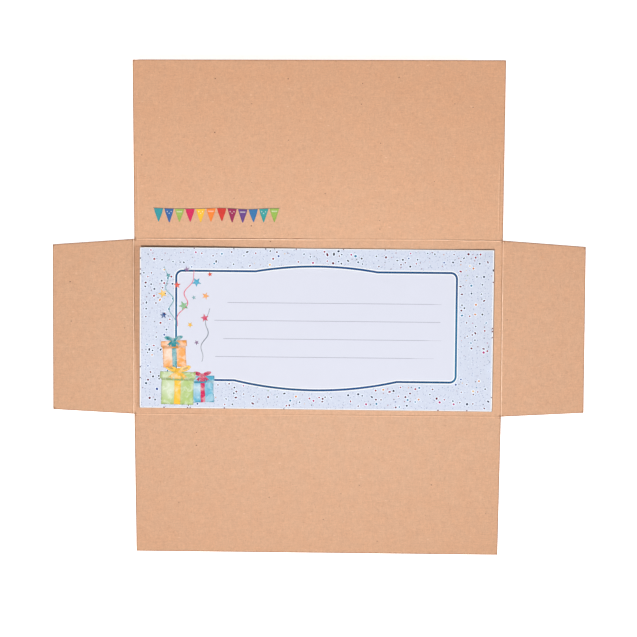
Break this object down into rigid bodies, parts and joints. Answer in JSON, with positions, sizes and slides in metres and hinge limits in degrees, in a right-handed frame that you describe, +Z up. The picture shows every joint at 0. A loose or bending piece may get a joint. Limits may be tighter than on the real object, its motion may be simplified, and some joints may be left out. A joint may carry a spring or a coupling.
{
  "type": "gift card envelope",
  "caption": "Open kraft board gift card envelope: flaps fold along scored lines over a loose writing card that lies on the back panel.",
  "frame": {"origin": "centre of the back panel's underside, the face that the envelope lies on", "axes": "+X along the long side of the back panel, +Y towards the top flap, +Z up out of the open envelope"},
  "size_m": [0.3182, 0.294, 0.006],
  "materials": {
    "kraft_board": "matt uncoated kraft board with fine fibres and specks",
    "scored_board": "kraft board crushed along the score line",
    "card_stock": "smooth white card stock with a printed pale border"
  },
  "bodies": {
    "back_panel": {"back_panel": "kraft_board", "top_score_line": "scored_board", "bottom_score_line": "scored_board", "left_score_line": "scored_board", "right_score_line": "scored_board"},
    "top_flap": {"top_flap": "kraft_board"},
    "bottom_flap": {"bottom_flap": "kraft_board"},
    "left_flap": {"left_flap": "kraft_board"},
    "right_flap": {"right_flap": "kraft_board"},
    "writing_card": {"writing_card": "card_stock"}
  },
  "joints": [
    {"name": "left_flap_fold", "type": "hinge", "parent": "back_panel", "child": "left_flap", "pos_m": [-0.11, 0, 0.00125], "axis": [0, 1, 0], "range_deg": [0, 179.9], "deforming": ["left_score_line"]},
    {"name": "right_flap_fold", "type": "hinge", "parent": "back_panel", "child": "right_flap", "pos_m": [0.11, 0, 0.00125], "axis": [0, -1, 0], "range_deg": [0, 179.9], "deforming": ["right_score_line"]},
    {"name": "bottom_flap_fold", "type": "hinge", "parent": "back_panel", "child": "bottom_flap", "pos_m": [0, -0.0526, 0.00165], "axis": [-1, 0, 0], "range_deg": [0, 179.9], "deforming": ["bottom_score_line"]},
    {"name": "top_flap_fold", "type": "hinge", "parent": "back_panel", "child": "top_flap", "pos_m": [0, 0.0526, 0.00205], "axis": [1, 0, 0], "range_deg": [0, 177], "deforming": ["top_score_line"]},
    {"name": "writing_card_lift", "type": "slide", "parent": "back_panel", "child": "writing_card", "axis": [0, 0, -1], "range_m": [-0.06, 0]}
  ]
}
